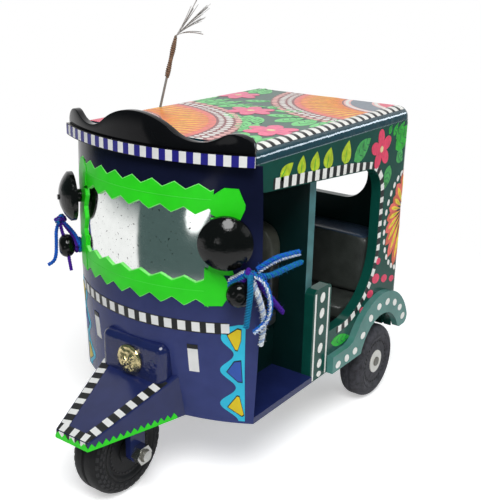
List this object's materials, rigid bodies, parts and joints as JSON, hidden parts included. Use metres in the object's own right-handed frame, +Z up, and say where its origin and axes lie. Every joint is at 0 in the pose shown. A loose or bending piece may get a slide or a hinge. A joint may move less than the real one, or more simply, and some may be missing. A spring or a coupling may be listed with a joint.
{
  "type": "toy auto rickshaw",
  "caption": "Painted toy three-wheeled auto rickshaw with curved cab front, pointed nose over the front wheel, wave-crested visor, open doorways, roof, fenders, round mirrors and an antenna.",
  "frame": {"origin": "on the ground, below the middle of the toy's length and width", "axes": "+X forward, +Y to the vehicle's left, +Z up"},
  "size_m": [0.2061, 0.1195, 0.2049],
  "materials": {
    "navy_enamel": "gloss enamel",
    "green_enamel": "gloss enamel on board",
    "black_enamel": "gloss enamel on board",
    "windscreen_foil": "mirror sheet",
    "lamp_gold": "faceted, polished",
    "black_gloss_plastic": "gloss",
    "seat_vinyl": "satin vinyl",
    "tyre": "matte rubber",
    "hub_nylon": "matte",
    "zinc_steel": "zinc plated",
    "yarn_blue": "twisted yarn",
    "yarn_turquoise": "twisted yarn",
    "yarn_purple": "twisted yarn",
    "yarn_white": "twisted yarn",
    "yarn_tie": "knotted yarn",
    "antenna_wrap": "wound thread",
    "tinsel": "bright foil"
  },
  "bodies": {
    "body": {"cowl": "navy_enamel", "nose": "navy_enamel", "headlamp_hood": "navy_enamel", "front_fork": "navy_enamel", "front_floor": "navy_enamel", "side_panel_left": "green_enamel", "side_panel_right": "green_enamel", "rear_panel": "green_enamel", "partition": "green_enamel", "rear_floor": "green_enamel", "roof": "green_enamel", "fender_left": "green_enamel", "fender_right": "green_enamel", "axle_blocks": "green_enamel", "bench_base": "green_enamel", "driver_base": "green_enamel", "visor_board": "black_enamel", "visor_crest": "black_enamel", "windscreen": "windscreen_foil", "headlamp": "lamp_gold", "mirror_left": "black_gloss_plastic", "mirror_right": "black_gloss_plastic", "bead_left": "black_gloss_plastic", "bead_right": "black_gloss_plastic", "bench_cushion": "seat_vinyl", "bench_back": "seat_vinyl", "driver_cushion": "seat_vinyl", "driver_back": "seat_vinyl", "front_axle_bolt": "zinc_steel", "rear_axle": "zinc_steel", "antenna_wire": "zinc_steel", "yarn_blue": "yarn_blue", "yarn_loop": "yarn_blue", "yarn_turquoise": "yarn_turquoise", "yarn_purple": "yarn_purple", "yarn_white": "yarn_white", "yarn_tie_left": "yarn_tie", "yarn_tie_right": "yarn_tie", "antenna_wrap": "antenna_wrap", "antenna_tuft": "tinsel"},
    "front_wheel": {"front_tyre": "tyre", "front_hub": "hub_nylon"},
    "rear_wheel_left": {"rear_tyre_left": "tyre", "rear_hub_left": "hub_nylon"},
    "rear_wheel_right": {"rear_tyre_right": "tyre", "rear_hub_right": "hub_nylon"}
  },
  "joints": [
    {"name": "front_wheel_spin", "type": "hinge", "parent": "body", "child": "front_wheel", "pos_m": [0.0775, 0, 0.0215], "axis": [0, 1, 0], "continuous": true},
    {"name": "rear_left_wheel_spin", "type": "hinge", "parent": "body", "child": "rear_wheel_left", "pos_m": [-0.0695, 0.045, 0.02], "axis": [0, 1, 0], "continuous": true},
    {"name": "rear_right_wheel_spin", "type": "hinge", "parent": "body", "child": "rear_wheel_right", "pos_m": [-0.0695, -0.045, 0.02], "axis": [0, 1, 0], "continuous": true}
  ]
}
